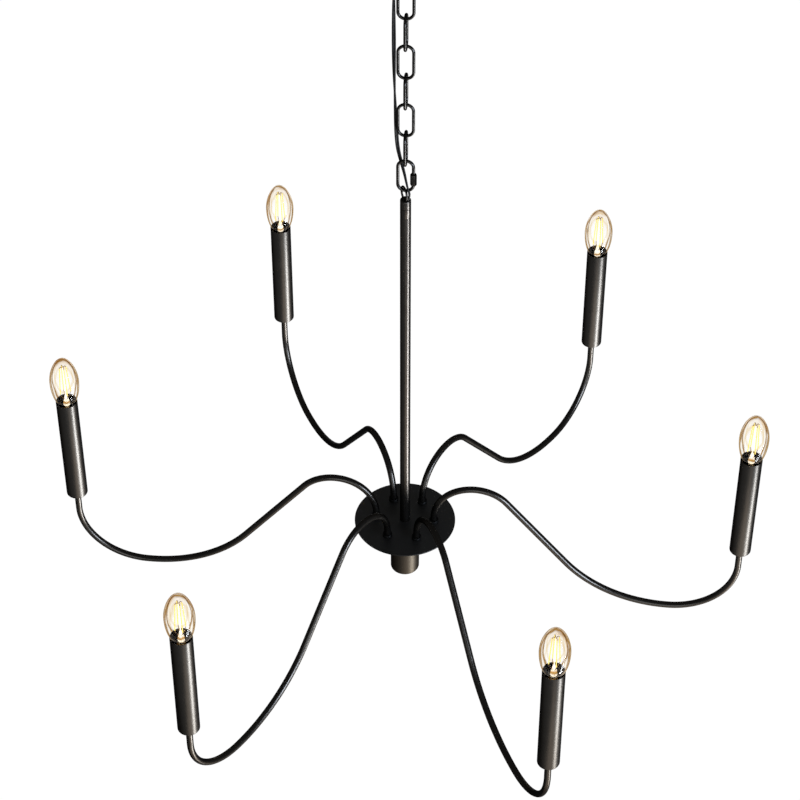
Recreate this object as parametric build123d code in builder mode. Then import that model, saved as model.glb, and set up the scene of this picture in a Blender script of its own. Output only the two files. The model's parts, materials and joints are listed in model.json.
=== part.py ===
"""Six-arm candle chandelier that hangs on a link chain from a ceiling canopy.

Millimetres, +Z up. The origin is the centre of the ceiling plane, so everything hangs at negative Z.
One arm points along +X and the others follow at equal angles.
"""
import os
from math import cos, pi, radians, sin, tan

from build123d import *

os.makedirs("parts", exist_ok=True)

# Fits between pieces
thread_gap = 0.1  # radial gap of a screwed fit
slip_gap = 0.2  # radial gap of a piece slipped over another
chain_play = 0.3  # gap between the wires of two linked pieces

# Ceiling fitting
canopy_radius = 60.0
canopy_depth = 26.0
canopy_wall = 1.2
canopy_rim_height = 7.0
canopy_flat_radius = 24.0
crossbar_length = 106.0
crossbar_width = 18.0
crossbar_thickness = 2.5
box_screw_spacing = 88.9
box_slot_length = 10.0
box_slot_width = 5.0
nipple_radius = 5.0
nipple_bore_radius = 3.2
nipple_engagement = 9.0  # depth of the nipple in the canopy loop
locknut_flats = 17.0
locknut_height = 5.0
collar_radius = 13.0
collar_height = 8.0
collar_edge = 1.5
neck_radius = 7.5
neck_above_canopy = 6.0
neck_reveal = 4.7
neck_cord_radius = 3.0
canopy_ring_radius = 10.0
canopy_ring_wire_radius = 2.0
canopy_ring_embed = 3.2
canopy_ring_gap = 60.0  # degrees left open at the neck

# Chain
chain_link_count = 7
chain_wire_radius = 1.7
chain_link_width = 19.7
chain_link_inner_length = 37.3

# Quick link
quick_wire_radius = 1.8
quick_link_width = 20.4
quick_link_inner_length = 36.4
quick_mouth = 8.0
quick_mouth_margin = 1.5
quick_nut_flats = 6.2
quick_nut_length = 14.2
quick_nut_margin = 0.2

# Stem and its loop cap
stem_radius = 6.0
stem_wall = 1.2
stem_height = 490.8  # top of the cap above the top of the plate
cap_height = 23.4
cap_roof = 8.0
cap_edge = 1.6
cap_groove_depth = 0.35
cap_groove_width = 0.8
cap_groove_drop = 11.0
cap_spigot_length = 14.0
stem_ring_wire_radius = 1.2
stem_ring_radius = 7.0
stem_ring_height = 16.2  # between the wire centres at its top and bottom
stem_ring_play = 0.7  # gap between the stem's ring and the quick link
stem_ring_embed = 0.9
stem_ring_offset = -1.5
stem_ring_angle = -60.0

# Hub
plate_radius = 60.2
plate_thickness = 2.0
pan_radius = 45.0
pan_depth = 16.0
pan_wall = 1.2
pan_edge = 6.0
centre_nipple_bore_radius = 3.0
centre_nipple_in_stem = 20.0
hub_nut_flats = 19.0
hub_nut_height = 5.0
cup_radius = 17.2
cup_height = 63.0
cup_wall = 1.5
cup_edge = 3.0
cup_boss_radius = 9.0
cup_boss_height = 16.0
cup_thread_depth = 12.0

# Arms, each in a vertical plane through the stem's axis
arm_count = 6
arm_radius = 3.9
arm_wall = 1.0
arm_circle_radius = 34.7
arm_foot = 9.0  # length of the arm below the plate
arm_rise = 7.6
arm_shoulder_radius = 54.7
arm_shoulder_heading = 56.8  # degrees above the horizontal, going outwards
arm_crest_radius = 47.8
arm_slope_heading = -51.2
arm_sweep_radius = 158.3
arm_trough_heading = 1.7
arm_upturn_radius = 79.5
arm_upright = 27.425  # from the end of the upturn to the bottom of the candle sleeve
arm_collar_radius = 5.6
arm_collar_height = 4.0
arm_nut_flats = 13.0
arm_nut_height = 4.0

# Candles
candle_circle_radius = 400.0
sleeve_radius = 12.7
sleeve_wall = 0.8
sleeve_floor = 1.6
sleeve_height = 151.3
sleeve_edge = 1.5
candle_nut_radius = 6.2
candle_nut_height = 4.0
arm_in_sleeve = 12.0
post_radius = 5.5
socket_radius = 9.0
socket_height = 32.0
socket_below_rim = 15.7
socket_bore_depth = 17.2

# Bulbs
bulb_radius = 17.5
bulb_top = 65.0  # above the sleeve's rim
bulb_belly = 28.3  # height of the widest circle above the rim
bulb_at_rim_radius = 10.95
bulb_neck_radius = 5.4
bulb_wall = 0.8
base_radius = 5.95
base_top = -13.7  # above the sleeve's rim
base_shell_length = 14.0
base_length = 19.0
base_contact_radius = 2.4
mount_foot_radius = 3.4
mount_post_radius = 0.9
mount_shoulder = 10.3
filament_circle_radius = 4.0
filament_radius = 0.9
filament_bottom = 13.3
filament_top = 50.0
support_radius = 0.6

# Wiring
cord_radius = 1.6
cord_hole_radius = 2.0
lead_radius = 1.3
lead_below_arm = 3.0
stem_lead_radius = 1.6
connector_radius = 4.0
connector_length = 11.0
connector_circle_radius = 21.0

# Route of the power cord, from inside the canopy loop's neck to inside the loop cap
cord_route = [
    (0, 0, -31),
    (-0.1, 0.2, -39.5),
    (-2.6, 3.2, -48),
    (-7, 5.6, -57.5),
    (-10.5, 5.0, -69),
    (-12.3, 3.2, -88),
    (-12.6, 1.4, -112),
    (-12.5, 0.9, -138),
    (-12.4, 0.6, -165),
    (-12.3, 0.8, -193),
    (-11.8, 1.5, -219),
    (-11.3, 2.6, -241),
    (-10.8, 3.4, -263),
    (-10.2, 4.0, -280.5),
    (-9.0, 4.4, -297),
    (-6.3, 4.6, -311.5),
    (-2.0, 2.2, -327),
    (0.5, -0.6, -337),
    (2.6, -3.0, -345.3),
    (4.7, -3.9, -351.3),
    (4.4, -2.7, -356),
    (2.9, -1.5, -360.5),
    (2.75, -1.4, -365),
]
cord_hole_place = (2.75, -1.4)


def arc_travel(radius, start_heading, end_heading):
    """Outward and upward travel along an arc that turns from one heading to another."""
    turn = 1 if end_heading > start_heading else -1
    start = radians(start_heading)
    end = radians(end_heading)
    return turn * radius * (sin(end) - sin(start)), turn * radius * (cos(start) - cos(end))


# Arm's bends: over a shoulder and a crest, then a straight slope, a long trough and the upturn to the candle
arm_bends = [
    (arm_shoulder_radius, 90, arm_shoulder_heading),
    (arm_crest_radius, arm_shoulder_heading, arm_slope_heading),
    (arm_sweep_radius, arm_slope_heading, arm_trough_heading),
    (arm_upturn_radius, arm_trough_heading, 90),
]
bend_travel = sum(arc_travel(*bend)[0] for bend in arm_bends)
bend_climb = sum(arc_travel(*bend)[1] for bend in arm_bends)
slope_length = (candle_circle_radius - arm_circle_radius - bend_travel) / cos(radians(arm_slope_heading))
slope_climb = slope_length * sin(radians(arm_slope_heading))

# Heights that follow from the sizes above
canopy_bottom_z = -canopy_depth
neck_top_z = canopy_bottom_z + neck_above_canopy
neck_bottom_z = canopy_bottom_z - collar_height - neck_reveal
canopy_ring_z = neck_bottom_z + canopy_ring_embed - canopy_ring_radius
first_hang_z = canopy_ring_z - canopy_ring_radius
chain_pitch = chain_link_inner_length - chain_play
first_link_top_z = first_hang_z + canopy_ring_wire_radius + chain_wire_radius + chain_play
link_bow_gap = chain_link_inner_length + 2 * chain_wire_radius
last_link_bottom_z = first_link_top_z - (chain_link_count - 1) * chain_pitch - link_bow_gap
quick_top_z = last_link_bottom_z + chain_wire_radius + quick_wire_radius + chain_play
quick_bottom_z = quick_top_z - quick_link_inner_length - 2 * quick_wire_radius
stem_ring_top_z = quick_bottom_z + quick_wire_radius + stem_ring_wire_radius + stem_ring_play
stem_ring_bottom_z = stem_ring_top_z - stem_ring_height
cap_top_z = stem_ring_bottom_z + stem_ring_embed
stem_top_z = cap_top_z - cap_height
plate_top_z = cap_top_z - stem_height
plate_bottom_z = plate_top_z - plate_thickness
pan_bottom_z = plate_bottom_z - pan_depth
cup_bottom_z = pan_bottom_z - cup_height
arm_foot_z = plate_bottom_z - arm_foot
upturn_end_z = plate_top_z + arm_rise + bend_climb + slope_climb
sleeve_bottom_z = upturn_end_z + arm_upright
arm_tip_z = sleeve_bottom_z + arm_in_sleeve
sleeve_floor_z = sleeve_bottom_z + sleeve_floor
rim_z = sleeve_bottom_z + sleeve_height
socket_top_z = rim_z - socket_below_rim
socket_bottom_z = socket_top_z - socket_height
centre_nipple_radius = stem_radius - stem_wall - thread_gap
arm_step = 360 / arm_count


def keep(piece, name):
    """Label a finished piece and write it as its own file."""
    piece.part.label = name
    export_step(piece.part, f"parts/{name}.step")


def upright_plane(angle, offset=0):
    """Vertical plane whose local x points along an angle about Z and whose local y points up."""
    along = (cos(radians(angle)), sin(radians(angle)), 0)
    across = (sin(radians(angle)), -cos(radians(angle)), 0)
    return Plane((offset, 0, 0), x_dir=along, z_dir=across)


def stadium_path(plane, mean_radius, top_z, bottom_z):
    """Closed centre line of a wire link with two straight sides and two half-round bows."""
    high = top_z - mean_radius
    low = bottom_z + mean_radius
    with BuildLine() as outline:
        Line((mean_radius, low), (mean_radius, high))
        ThreePointArc((mean_radius, high), (0, top_z), (-mean_radius, high))
        Line((-mean_radius, high), (-mean_radius, low))
        ThreePointArc((-mean_radius, low), (0, bottom_z), (mean_radius, low))
    return plane * outline.wire()


# Ceiling crossbar with two slots for the screws of the ceiling box
with BuildPart() as crossbar:
    with BuildSketch():
        SlotOverall(crossbar_length, crossbar_width)
        with Locations((-box_screw_spacing / 2, 0), (box_screw_spacing / 2, 0)):
            SlotOverall(box_slot_length, box_slot_width, mode=Mode.SUBTRACT)
        Circle(nipple_radius + thread_gap, mode=Mode.SUBTRACT)
    extrude(amount=-crossbar_thickness)
keep(crossbar, "ceiling_crossbar")

# Hollow nipple that joins the crossbar to the canopy loop
with BuildPart() as nipple:
    with BuildSketch():
        Circle(nipple_radius)
        Circle(nipple_bore_radius, mode=Mode.SUBTRACT)
    extrude(amount=neck_top_z - nipple_engagement)
keep(nipple, "canopy_nipple")

with BuildPart() as locknut:
    with BuildSketch(Plane.XY.offset(-crossbar_thickness)):
        RegularPolygon(locknut_flats / 2, 6, major_radius=False)
        Circle(nipple_radius + thread_gap, mode=Mode.SUBTRACT)
    extrude(amount=-locknut_height)
keep(locknut, "crossbar_locknut")

# Canopy: a shallow spun dish, open towards the ceiling
with BuildPart() as canopy:
    with BuildSketch(Plane.XZ):
        for inset in (0, canopy_wall):
            with BuildLine():
                dome = EllipticalCenterArc(
                    (canopy_flat_radius, -canopy_rim_height),
                    canopy_radius - canopy_flat_radius - inset,
                    canopy_depth - canopy_rim_height - inset,
                    start_angle=270,
                    arc_size=90,
                )
                Polyline(dome @ 1, (canopy_radius - inset, 0), (0, 0), (0, inset - canopy_depth), dome @ 0)
            make_face(mode=Mode.ADD if inset == 0 else Mode.SUBTRACT)
    revolve(axis=Axis.Z)
    with BuildSketch(Plane.XY.offset(canopy_bottom_z)):
        Circle(neck_radius + slip_gap)
    extrude(amount=canopy_depth, mode=Mode.SUBTRACT)
keep(canopy, "ceiling_canopy")

# Screw collar that holds the canopy up against the ceiling
with BuildPart() as collar:
    with BuildSketch(Plane.XY.offset(canopy_bottom_z)):
        Circle(collar_radius)
        Circle(neck_radius + thread_gap, mode=Mode.SUBTRACT)
    extrude(amount=-collar_height)
    collar_lower_edges = collar.edges().filter_by(GeomType.CIRCLE).group_by(Axis.Z)[0]
    chamfer(collar_lower_edges.sort_by(SortBy.RADIUS)[-1], collar_edge)
keep(collar, "canopy_collar")

# Canopy loop: a bored neck with a ring under it, whose ends stand in the neck beside the cord's hole
with BuildLine() as canopy_ring:
    CenterArc((0, canopy_ring_z), canopy_ring_radius, 90 + canopy_ring_gap / 2, 360 - canopy_ring_gap)
canopy_ring_line = Plane.XZ * canopy_ring.wire()
with BuildPart() as canopy_loop:
    with BuildSketch(Plane.XY.offset(neck_bottom_z)):
        Circle(neck_radius)
    extrude(amount=neck_top_z - neck_bottom_z)
    with BuildSketch(Plane(canopy_ring_line @ 0, z_dir=canopy_ring_line % 0)):
        Circle(canopy_ring_wire_radius)
    sweep(path=canopy_ring_line)
    with BuildSketch(Plane.XY.offset(neck_top_z)):
        Circle(nipple_radius + thread_gap)
    extrude(amount=-nipple_engagement, mode=Mode.SUBTRACT)
    with BuildSketch(Plane.XY.offset(neck_top_z)):
        Circle(neck_cord_radius)
    extrude(amount=neck_bottom_z - neck_top_z, mode=Mode.SUBTRACT)
keep(canopy_loop, "canopy_loop")

# Chain links, turned a quarter turn from one to the next
link_mean_radius = chain_link_width / 2 - chain_wire_radius
for number in range(chain_link_count):
    link_plane = Plane.YZ if number % 2 == 0 else Plane.XZ
    link_top_z = first_link_top_z - number * chain_pitch
    link_line = stadium_path(link_plane, link_mean_radius, link_top_z, link_top_z - link_bow_gap)
    with BuildPart() as link:
        with BuildSketch(Plane(link_line @ 0, z_dir=link_line % 0)):
            Circle(chain_wire_radius)
        sweep(path=link_line)
    keep(link, f"chain_link_{number + 1}")

# Quick link: an oval wire with a mouth in one side, closed by a long nut
quick_mean_radius = quick_link_width / 2 - quick_wire_radius
quick_side_low_z = quick_bottom_z + quick_mean_radius
mouth_low_z = quick_side_low_z + quick_mouth_margin
quick_line = stadium_path(Plane.XZ, quick_mean_radius, quick_top_z, quick_bottom_z)
with BuildPart() as quick_link:
    with BuildSketch(Plane(quick_line @ 0, z_dir=quick_line % 0)):
        Circle(quick_wire_radius)
    sweep(path=quick_line)
    with BuildSketch(Plane.XY.offset(mouth_low_z)):
        with Locations((quick_mean_radius, 0)):
            Circle(quick_nut_flats / 2)
    extrude(amount=quick_mouth, mode=Mode.SUBTRACT)
keep(quick_link, "quick_link")

with BuildPart() as quick_nut:
    with BuildSketch(Plane.XY.offset(quick_side_low_z + quick_nut_margin)):
        with Locations((quick_mean_radius, 0)):
            RegularPolygon(quick_nut_flats / 2, 6, major_radius=False)
            Circle(quick_wire_radius + thread_gap, mode=Mode.SUBTRACT)
    extrude(amount=quick_nut_length)
keep(quick_nut, "quick_link_nut")

# Loop cap: a grooved plug in the top of the stem with a wire eye and a hole for the cord
stem_ring_plane = upright_plane(stem_ring_angle, stem_ring_offset)
stem_ring_line = stadium_path(stem_ring_plane, stem_ring_radius, stem_ring_top_z, stem_ring_bottom_z)
spigot_radius = stem_radius - stem_wall - thread_gap
spigot_bottom_z = stem_top_z - cap_spigot_length
cap_bore_radius = spigot_radius - stem_wall
with BuildPart() as stem_loop:
    with BuildSketch(Plane.XY.offset(stem_top_z)):
        Circle(stem_radius)
    extrude(amount=cap_height)
    fillet(stem_loop.edges().sort_by(Axis.Z)[-1], cap_edge)
    with BuildSketch(Plane.XY.offset(cap_top_z - cap_groove_drop)):
        Circle(stem_radius)
        Circle(stem_radius - cap_groove_depth, mode=Mode.SUBTRACT)
    extrude(amount=-cap_groove_width, mode=Mode.SUBTRACT)
    with BuildSketch(Plane.XY.offset(spigot_bottom_z)):
        Circle(spigot_radius)
    extrude(amount=cap_spigot_length)
    with BuildSketch(Plane.XY.offset(spigot_bottom_z)):
        Circle(cap_bore_radius)
    extrude(amount=cap_top_z - cap_roof - spigot_bottom_z, mode=Mode.SUBTRACT)
    with BuildSketch(Plane(stem_ring_line @ 0, z_dir=stem_ring_line % 0)):
        Circle(stem_ring_wire_radius)
    sweep(path=stem_ring_line)
    with BuildSketch(Plane.XY.offset(cap_top_z)):
        with Locations(cord_hole_place):
            Circle(cord_hole_radius)
    extrude(amount=-cap_roof, mode=Mode.SUBTRACT)
keep(stem_loop, "stem_loop")

with BuildPart() as stem:
    with BuildSketch(Plane.XY.offset(plate_top_z)):
        Circle(stem_radius)
        Circle(stem_radius - stem_wall, mode=Mode.SUBTRACT)
    extrude(amount=stem_top_z - plate_top_z)
keep(stem, "stem_tube")

# Hub plate with a hole for each arm
with BuildPart() as plate:
    with BuildSketch(Plane.XY.offset(plate_top_z)):
        Circle(plate_radius)
        Circle(centre_nipple_radius + slip_gap, mode=Mode.SUBTRACT)
        with PolarLocations(arm_circle_radius, arm_count):
            Circle(arm_radius + slip_gap, mode=Mode.SUBTRACT)
    extrude(amount=-plate_thickness)
    fillet(plate.edges().filter_by(GeomType.CIRCLE).sort_by(SortBy.RADIUS)[-2:], plate_thickness / 4)
keep(plate, "hub_plate")

# Wiring pan, open towards the plate
with BuildPart() as pan:
    with BuildSketch(Plane.XY.offset(plate_bottom_z)):
        Circle(pan_radius)
    extrude(amount=-pan_depth)
    fillet(pan.edges().sort_by(Axis.Z)[0], pan_edge)
    offset(amount=-pan_wall, openings=pan.faces().sort_by(Axis.Z)[-1])
    with BuildSketch(Plane.XY.offset(pan_bottom_z)):
        Circle(centre_nipple_radius + slip_gap)
    extrude(amount=pan_depth, mode=Mode.SUBTRACT)
keep(pan, "wiring_pan")

# Hollow centre nipple from the stem's foot down to the bottom cup
centre_nipple_bottom_z = cup_bottom_z + cup_wall + cup_boss_height - cup_thread_depth
with BuildPart() as centre_nipple:
    with BuildSketch(Plane.XY.offset(centre_nipple_bottom_z)):
        Circle(centre_nipple_radius)
        Circle(centre_nipple_bore_radius, mode=Mode.SUBTRACT)
    extrude(amount=plate_top_z + centre_nipple_in_stem - centre_nipple_bottom_z)
keep(centre_nipple, "centre_nipple")

with BuildPart() as hub_nut:
    with BuildSketch(Plane.XY.offset(plate_bottom_z)):
        RegularPolygon(hub_nut_flats / 2, 6, major_radius=False)
        Circle(centre_nipple_radius + thread_gap, mode=Mode.SUBTRACT)
    extrude(amount=-hub_nut_height)
keep(hub_nut, "hub_nut")

# Bottom cup: a long round cup with a threaded boss standing inside
with BuildPart() as cup:
    with BuildSketch(Plane.XY.offset(pan_bottom_z)):
        Circle(cup_radius)
    extrude(amount=-cup_height)
    fillet(cup.edges().sort_by(Axis.Z)[0], cup_edge)
    offset(amount=-cup_wall, openings=cup.faces().sort_by(Axis.Z)[-1])
    with BuildSketch(Plane.XY.offset(cup_bottom_z + cup_wall)):
        Circle(cup_boss_radius)
    extrude(amount=cup_boss_height)
    with BuildSketch(Plane.XY.offset(cup_bottom_z + cup_wall + cup_boss_height)):
        Circle(centre_nipple_radius + thread_gap)
    extrude(amount=-cup_thread_depth, mode=Mode.SUBTRACT)
keep(cup, "bottom_cup")


def arm_line(foot_z, tip_z):
    """The arm's centre line in the XZ plane between two heights of its upright ends."""
    with BuildLine() as line:
        foot = Line((arm_circle_radius, foot_z), (arm_circle_radius, plate_top_z + arm_rise))
        shoulder = JernArc(foot @ 1, foot % 1, arm_shoulder_radius, arm_shoulder_heading - 90)
        crest_turn = arm_slope_heading - arm_shoulder_heading
        crest = JernArc(shoulder @ 1, shoulder % 1, arm_crest_radius, crest_turn)
        slope = Line(crest @ 1, crest @ 1 + (crest % 1) * slope_length)
        trough = JernArc(slope @ 1, slope % 1, arm_sweep_radius, arm_trough_heading - arm_slope_heading)
        upturn = JernArc(trough @ 1, trough % 1, arm_upturn_radius, 90 - arm_trough_heading)
        Line(upturn @ 1, (candle_circle_radius, tip_z))
    return line.wire()


arm_wire = arm_line(arm_foot_z, arm_tip_z)
arm_planes = [upright_plane(index * arm_step) for index in range(arm_count)]
for index in range(arm_count):
    arm_path = arm_planes[index] * arm_wire
    with BuildPart() as arm:
        with BuildSketch(Plane(arm_path @ 0, z_dir=arm_path % 0)):
            Circle(arm_radius)
            Circle(arm_radius - arm_wall, mode=Mode.SUBTRACT)
        sweep(path=arm_path)
    keep(arm, f"arm_{index + 1}")

with BuildPart() as arm_collars:
    with BuildSketch(Plane.XY.offset(plate_top_z)):
        with PolarLocations(arm_circle_radius, arm_count):
            Circle(arm_collar_radius)
            Circle(arm_radius + slip_gap, mode=Mode.SUBTRACT)
    extrude(amount=arm_collar_height)
keep(arm_collars, "arm_collars")

with BuildPart() as arm_nuts:
    with BuildSketch(Plane.XY.offset(plate_bottom_z)):
        with PolarLocations(arm_circle_radius, arm_count):
            RegularPolygon(arm_nut_flats / 2, 6, major_radius=False)
            Circle(arm_radius + thread_gap, mode=Mode.SUBTRACT)
    extrude(amount=-arm_nut_height)
keep(arm_nuts, "arm_nuts")

# Candles: sleeve, nut below it, post and lamp socket inside it
candle_places = PolarLocations(candle_circle_radius, arm_count).locations
for index in range(arm_count):
    x, y = candle_places[index].position.X, candle_places[index].position.Y
    with BuildPart() as sleeve:
        with BuildSketch(Plane((x, y, sleeve_bottom_z))):
            Circle(sleeve_radius)
            Circle(arm_radius + slip_gap, mode=Mode.SUBTRACT)
        extrude(amount=sleeve_height)
        sleeve_lower_edges = sleeve.edges().filter_by(GeomType.CIRCLE).group_by(Axis.Z)[0]
        fillet(sleeve_lower_edges.sort_by(SortBy.RADIUS)[-1], sleeve_edge)
        with BuildSketch(Plane((x, y, sleeve_floor_z))):
            Circle(sleeve_radius - sleeve_wall)
        extrude(amount=sleeve_height, mode=Mode.SUBTRACT)
    keep(sleeve, f"candle_sleeve_{index + 1}")

with BuildPart() as candle_nuts:
    with BuildSketch(Plane.XY.offset(sleeve_bottom_z)):
        with PolarLocations(candle_circle_radius, arm_count):
            Circle(candle_nut_radius)
            Circle(arm_radius + thread_gap, mode=Mode.SUBTRACT)
    extrude(amount=-candle_nut_height)
keep(candle_nuts, "candle_nuts")

with BuildPart() as posts:
    with BuildSketch(Plane.XY.offset(sleeve_floor_z)):
        with PolarLocations(candle_circle_radius, arm_count):
            Circle(post_radius)
            Circle(arm_radius + thread_gap, mode=Mode.SUBTRACT)
    extrude(amount=socket_bottom_z - sleeve_floor_z)
keep(posts, "socket_posts")

with BuildPart() as sockets:
    with BuildSketch(Plane.XY.offset(socket_bottom_z)):
        with PolarLocations(candle_circle_radius, arm_count):
            Circle(socket_radius)
    extrude(amount=socket_height)
    with BuildSketch(Plane.XY.offset(socket_top_z)):
        with PolarLocations(candle_circle_radius, arm_count):
            Circle(base_radius + slip_gap)
    extrude(amount=-socket_bore_depth, mode=Mode.SUBTRACT)
keep(sockets, "lamp_sockets")

# Bulbs: glass envelope, screw base and filament mount
base_top_z = rim_z + base_top
base_tip_z = base_top_z - base_length
belly_z = rim_z + bulb_belly
for index in range(arm_count):
    x, y = candle_places[index].position.X, candle_places[index].position.Y
    bulb_plane = Plane((x, y, 0), x_dir=(1, 0, 0), z_dir=(0, -1, 0))
    bulb_axis = Axis((x, y, 0), (0, 0, 1))
    with BuildPart() as glass:
        with BuildSketch(bulb_plane):
            for inset in (0, bulb_wall):
                with BuildLine():
                    envelope = Spline(
                        (bulb_neck_radius - inset, base_top_z),
                        (bulb_at_rim_radius - inset, rim_z),
                        (bulb_radius - inset, belly_z),
                        (0, rim_z + bulb_top - inset),
                        tangents=((0, 1), (-1, 0)),
                    )
                    Polyline(envelope @ 1, (0, base_top_z), envelope @ 0)
                make_face(mode=Mode.ADD if inset == 0 else Mode.SUBTRACT)
        revolve(axis=bulb_axis)
    keep(glass, f"bulb_glass_{index + 1}")

    with BuildPart() as base:
        with BuildSketch(bulb_plane):
            with BuildLine():
                Polyline(
                    (0, base_top_z),
                    (base_radius, base_top_z),
                    (base_radius, base_top_z - base_shell_length),
                    (base_contact_radius, base_tip_z),
                    (0, base_tip_z),
                    close=True,
                )
            make_face()
        revolve(axis=bulb_axis)
    keep(base, f"bulb_base_{index + 1}")

    with BuildPart() as filament:
        with BuildSketch(bulb_plane):
            with BuildLine():
                Polyline(
                    (0, base_top_z),
                    (mount_foot_radius, base_top_z),
                    (mount_post_radius, rim_z + mount_shoulder),
                    (mount_post_radius, rim_z + filament_top),
                    (0, rim_z + filament_top),
                    close=True,
                )
            make_face()
        revolve(axis=bulb_axis)
        with BuildSketch(Plane((x, y, rim_z + filament_bottom))):
            with PolarLocations(filament_circle_radius, 4):
                Circle(filament_radius)
        extrude(amount=filament_top - filament_bottom)
        for height in (filament_bottom, filament_top):
            for spoke in range(2):
                turn = spoke * 90
                with BuildSketch(Plane((x, y, rim_z + height)).rotated((0, 0, turn))):
                    SlotCenterToCenter(2 * filament_circle_radius, 2 * support_radius)
                extrude(amount=support_radius, both=True)
    keep(filament, f"bulb_filament_{index + 1}")

# Leads inside the arms and the stem
with BuildPart() as leads:
    lead_wire = arm_line(arm_foot_z - lead_below_arm, socket_bottom_z)
    for index in range(arm_count):
        lead_path = arm_planes[index] * lead_wire
        with BuildSketch(Plane(lead_path @ 0, z_dir=lead_path % 0)):
            Circle(lead_radius)
        sweep(path=lead_path)
    with BuildSketch(Plane.XY.offset(plate_top_z)):
        Circle(stem_lead_radius)
    extrude(amount=spigot_bottom_z - plate_top_z)
keep(leads, "lamp_leads")

# Twist-on wire connectors that stand in the pan
with BuildPart() as connectors:
    with BuildSketch(Plane.XY.offset(pan_bottom_z + pan_wall)):
        with PolarLocations(connector_circle_radius, 2, start_angle=arm_step / 2):
            Circle(connector_radius)
    extrude(amount=connector_length, taper=6)
keep(connectors, "wire_connectors")

# Power cord beside the chain, bent in arcs as large as its runs allow
points = [Vector(*point) for point in cord_route]
runs = [points[i + 1] - points[i] for i in range(len(points) - 1)]
bend_radii = []
for before, after in zip(runs, runs[1:]):
    shorter = min(before.length, after.length)
    bend_radii.append(0.45 * shorter / tan(radians(before.get_angle(after)) / 2))
with BuildPart() as cord:
    with BuildLine() as cord_line:
        FilletPolyline(*points, radius=bend_radii)
    with BuildSketch(Plane(points[0], z_dir=runs[0])):
        Circle(cord_radius)
    sweep(path=cord_line.wire())
keep(cord, "power_cord")

cord_length = cord_line.wire().length
cord_section = pi * cord_radius**2
print("cord length", round(cord_length, 1), "smallest radius", round(min(bend_radii), 1))
print("cord volume over section times length", round(cord.part.volume / (cord_section * cord_length), 4))
print("plate top", plate_top_z, "slope", round(slope_length, 1))
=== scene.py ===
# %% [markdown]
# # A six-arm candle chandelier, dressed in Blender
# The working model of this lamp is already built: every tube, link and screw is a solid at its real size.
# This lesson puts the looks on that frame. Each cell makes one piece or one finish, and each piece hangs on
# the body that carries it, so that the chain still swings and the bulbs still screw out.

# %% Load the frame
import json
from math import cos, pi, radians, sin, tau

import bmesh
import bpy
from mathutils import Matrix, Vector, geometry

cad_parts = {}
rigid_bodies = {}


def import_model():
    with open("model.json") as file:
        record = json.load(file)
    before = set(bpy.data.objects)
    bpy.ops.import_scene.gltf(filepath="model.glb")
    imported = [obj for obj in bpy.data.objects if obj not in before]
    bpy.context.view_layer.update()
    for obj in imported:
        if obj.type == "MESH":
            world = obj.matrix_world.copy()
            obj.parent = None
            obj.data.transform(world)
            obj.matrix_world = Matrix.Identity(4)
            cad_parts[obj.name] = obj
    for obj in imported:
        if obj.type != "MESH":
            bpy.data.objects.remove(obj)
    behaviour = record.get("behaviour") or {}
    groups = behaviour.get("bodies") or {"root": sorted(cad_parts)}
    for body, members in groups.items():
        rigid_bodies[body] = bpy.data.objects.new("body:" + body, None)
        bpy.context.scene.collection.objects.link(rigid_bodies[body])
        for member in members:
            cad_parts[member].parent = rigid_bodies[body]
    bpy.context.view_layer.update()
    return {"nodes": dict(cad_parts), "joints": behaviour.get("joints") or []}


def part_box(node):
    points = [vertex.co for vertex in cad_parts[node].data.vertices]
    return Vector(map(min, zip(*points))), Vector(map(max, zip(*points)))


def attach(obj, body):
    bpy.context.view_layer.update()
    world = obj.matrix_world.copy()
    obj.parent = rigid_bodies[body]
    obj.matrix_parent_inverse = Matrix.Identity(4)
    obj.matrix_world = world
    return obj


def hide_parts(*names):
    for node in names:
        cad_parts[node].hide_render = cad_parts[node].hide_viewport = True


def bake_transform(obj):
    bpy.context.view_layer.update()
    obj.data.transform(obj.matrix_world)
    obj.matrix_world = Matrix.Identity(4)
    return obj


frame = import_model()
scene = bpy.context.scene
scene.view_settings.view_transform = "Standard"
MM = 0.001
arm_numbers = range(1, 7)
link_numbers = range(1, 8)

# %% [markdown]
# ## Camera
# The photograph looks down on the lamp from well above the arms, with a long lens and a small turn to the
# left. A camera could be aimed with a constraint, but fixed angles are easier to read and never move by
# themselves.

# %% Camera
camera_data = bpy.data.cameras.new("studio_camera")
camera_data.lens = 117.99
camera_data.sensor_width = 36.0
camera = bpy.data.objects.new("studio_camera", camera_data)
camera.location = (0.25848, -2.17381, 1.4048)
camera.rotation_euler = (radians(46.7096), 0.0, radians(6.937))
scene.collection.objects.link(camera)
scene.camera = camera
print("camera stands", round(camera.location.length, 2), "m from the ceiling point")

# %% [markdown]
# ## Tools for node trees
# Shaders and Geometry Nodes are both made of nodes and links. Linking them one by one hides the idea, so a
# socket is wrapped in a small class that understands plus, minus, times and divide, and one method makes
# every other node.

# %% Sockets and benches


class Socket:
    """An output of a node that can stand in a Python sum."""

    def __init__(self, bench, plug):
        self.bench = bench
        self.plug = plug

    def maths(self, operation, left, right):
        """Result of a Math node on two values."""
        return self.bench.node("ShaderNodeMath", {"operation": operation}, {0: left, 1: right})

    def __add__(self, other):
        return self.maths("ADD", self, other)

    def __sub__(self, other):
        return self.maths("SUBTRACT", self, other)

    def __rsub__(self, other):
        return self.maths("SUBTRACT", other, self)

    def __mul__(self, other):
        return self.maths("MULTIPLY", self, other)

    def __truediv__(self, other):
        return self.maths("DIVIDE", self, other)

    def __rtruediv__(self, other):
        return self.maths("DIVIDE", other, self)

    __radd__ = __add__
    __rmul__ = __mul__


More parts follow.
